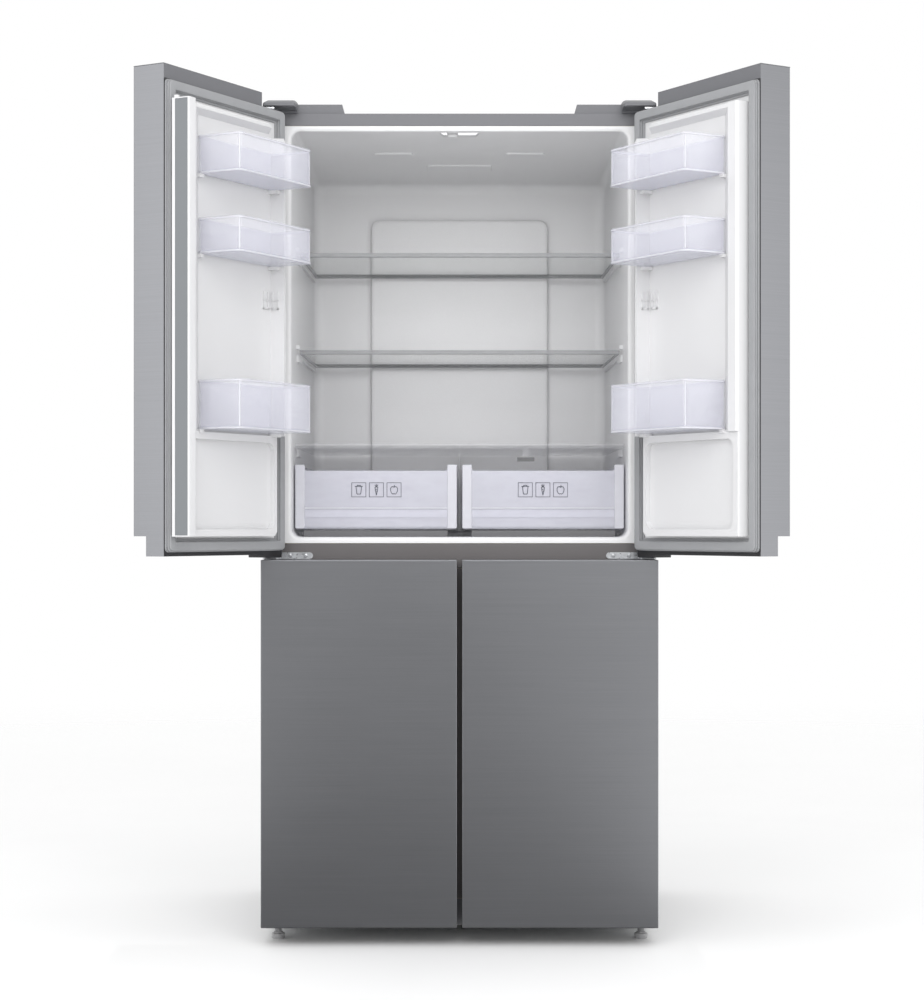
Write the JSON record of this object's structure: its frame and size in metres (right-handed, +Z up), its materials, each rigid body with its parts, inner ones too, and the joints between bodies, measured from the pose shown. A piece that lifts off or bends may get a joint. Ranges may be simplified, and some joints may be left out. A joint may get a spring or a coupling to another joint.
{
  "type": "french door refrigerator",
  "caption": "Tall refrigerator with paired swinging doors above and below, a folding centre flap, door bins, glass shelves, crisper drawers, rear rollers and screw feet.",
  "frame": {"origin": "bottom centre of the bounding box as it stands with the upper doors open, on the floor", "axes": "+Z up, +X to the right seen from the front, -Y out of the front"},
  "size_m": [1.2927, 1.081, 1.793],
  "materials": {
    "painted_steel": "grey paint, satin",
    "foam": "rigid foam, inside the walls",
    "zinc_sheet": "zinc-coated sheet, matt",
    "rail_paint": "brown-grey paint, satin",
    "inner_liner": "off-white, moulded, semi-gloss",
    "zinc_steel": "bright zinc, satin",
    "dark_plastic": "dark grey, satin",
    "black_steel": "black paint, satin",
    "white_plastic": "white, satin",
    "shelf_glass": "clear, polished",
    "clear_plastic": "clear with a blue tint, polished",
    "duct_plastic": "light grey, fine grain",
    "aluminium_fins": "plain rolled fins",
    "black_enamel": "black enamel",
    "brushed_door_steel": "dark grey, fine level brushing, satin",
    "door_liner": "white, moulded, semi-gloss",
    "gasket_rubber": "grey vinyl, matt",
    "black_plastic": "black, satin",
    "flap_steel": "grey coated plate, satin",
    "roller_plastic": "black nylon, satin",
    "foot_plastic": "black, matt"
  },
  "bodies": {
    "cabinet": {"cabinet_wrapper": "painted_steel", "cabinet_insulation": "foam", "rear_panel": "zinc_sheet", "base_plate": "zinc_sheet", "center_rail": "rail_paint", "freezer_post": "rail_paint", "fridge_liner": "inner_liner", "freezer_liner_left": "inner_liner", "freezer_liner_right": "inner_liner", "top_hinge_left": "zinc_steel", "top_hinge_right": "zinc_steel", "hinge_cover_left": "dark_plastic", "hinge_cover_right": "dark_plastic", "middle_hinge_left": "zinc_steel", "middle_hinge_right": "zinc_steel", "bottom_hinge_left": "black_steel", "bottom_hinge_right": "black_steel", "flap_guide": "white_plastic", "upper_shelf_glass": "shelf_glass", "upper_shelf_trim": "clear_plastic", "lower_shelf_glass": "shelf_glass", "lower_shelf_trim": "clear_plastic", "crisper_cover": "clear_plastic", "air_duct_cover": "duct_plastic", "evaporator": "aluminium_fins", "compressor": "black_enamel", "condenser": "black_enamel", "machine_cover": "zinc_sheet", "freezer_drawer_left": "clear_plastic", "freezer_drawer_right": "clear_plastic"},
    "upper_left_door": {"upper_left_skin": "brushed_door_steel", "upper_left_liner": "door_liner", "upper_left_gasket": "gasket_rubber", "upper_left_top_cap": "dark_plastic", "upper_left_bottom_cap": "black_plastic", "upper_left_bin_top": "clear_plastic", "upper_left_bin_middle": "clear_plastic", "upper_left_bin_low": "clear_plastic"},
    "upper_right_door": {"upper_right_skin": "brushed_door_steel", "upper_right_liner": "door_liner", "upper_right_gasket": "gasket_rubber", "upper_right_top_cap": "dark_plastic", "upper_right_bottom_cap": "black_plastic", "upper_right_bin_top": "clear_plastic", "upper_right_bin_middle": "clear_plastic", "upper_right_bin_low": "clear_plastic"},
    "lower_left_door": {"lower_left_skin": "brushed_door_steel", "lower_left_liner": "door_liner", "lower_left_gasket": "gasket_rubber"},
    "lower_right_door": {"lower_right_skin": "brushed_door_steel", "lower_right_liner": "door_liner", "lower_right_gasket": "gasket_rubber"},
    "flap": {"flap_body": "white_plastic", "flap_plate": "flap_steel"},
    "left_crisper": {"crisper_left": "clear_plastic"},
    "right_crisper": {"crisper_right": "clear_plastic"},
    "left_roller": {"rear_roller_left": "roller_plastic"},
    "right_roller": {"rear_roller_right": "roller_plastic"},
    "left_foot": {"front_foot_left": "foot_plastic"},
    "right_foot": {"front_foot_right": "foot_plastic"}
  },
  "joints": [
    {"name": "upper_left_door_swing", "type": "hinge", "parent": "cabinet", "child": "upper_left_door", "pos_m": [-0.4045, -0.151, 1.3], "axis": [0, 0, -1], "range_deg": [-119.4, 8]},
    {"name": "upper_right_door_swing", "type": "hinge", "parent": "cabinet", "child": "upper_right_door", "pos_m": [0.4045, -0.151, 1.3], "axis": [0, 0, 1], "range_deg": [-121.2, 8]},
    {"name": "lower_left_door_swing", "type": "hinge", "parent": "cabinet", "child": "lower_left_door", "pos_m": [-0.4045, -0.151, 0.42], "axis": [0, 0, -1], "range_deg": [0, 125]},
    {"name": "lower_right_door_swing", "type": "hinge", "parent": "cabinet", "child": "lower_right_door", "pos_m": [0.4045, -0.151, 0.42], "axis": [0, 0, 1], "range_deg": [0, 125]},
    {"name": "flap_fold", "type": "hinge", "parent": "upper_left_door", "child": "flap", "pos_m": [-0.55074, -0.51596, 1.3], "axis": [0, 0, 1], "range_deg": [-90, 0]},
    {"name": "left_crisper_slide", "type": "slide", "parent": "cabinet", "child": "left_crisper", "axis": [0, -1, 0], "range_m": [0, 0.3]},
    {"name": "right_crisper_slide", "type": "slide", "parent": "cabinet", "child": "right_crisper", "axis": [0, -1, 0], "range_m": [0, 0.3]},
    {"name": "left_roller_spin", "type": "hinge", "parent": "cabinet", "child": "left_roller", "pos_m": [-0.3505, 0.49, 0.014], "axis": [1, 0, 0], "continuous": true},
    {"name": "right_roller_spin", "type": "hinge", "parent": "cabinet", "child": "right_roller", "pos_m": [0.3505, 0.49, 0.014], "axis": [1, 0, 0], "continuous": true},
    {"name": "left_foot_turn", "type": "hinge", "parent": "cabinet", "child": "left_foot", "pos_m": [-0.388, -0.092, 0.015], "axis": [0, 0, 1], "continuous": true},
    {"name": "right_foot_turn", "type": "hinge", "parent": "cabinet", "child": "right_foot", "pos_m": [0.388, -0.092, 0.015], "axis": [0, 0, 1], "continuous": true}
  ]
}
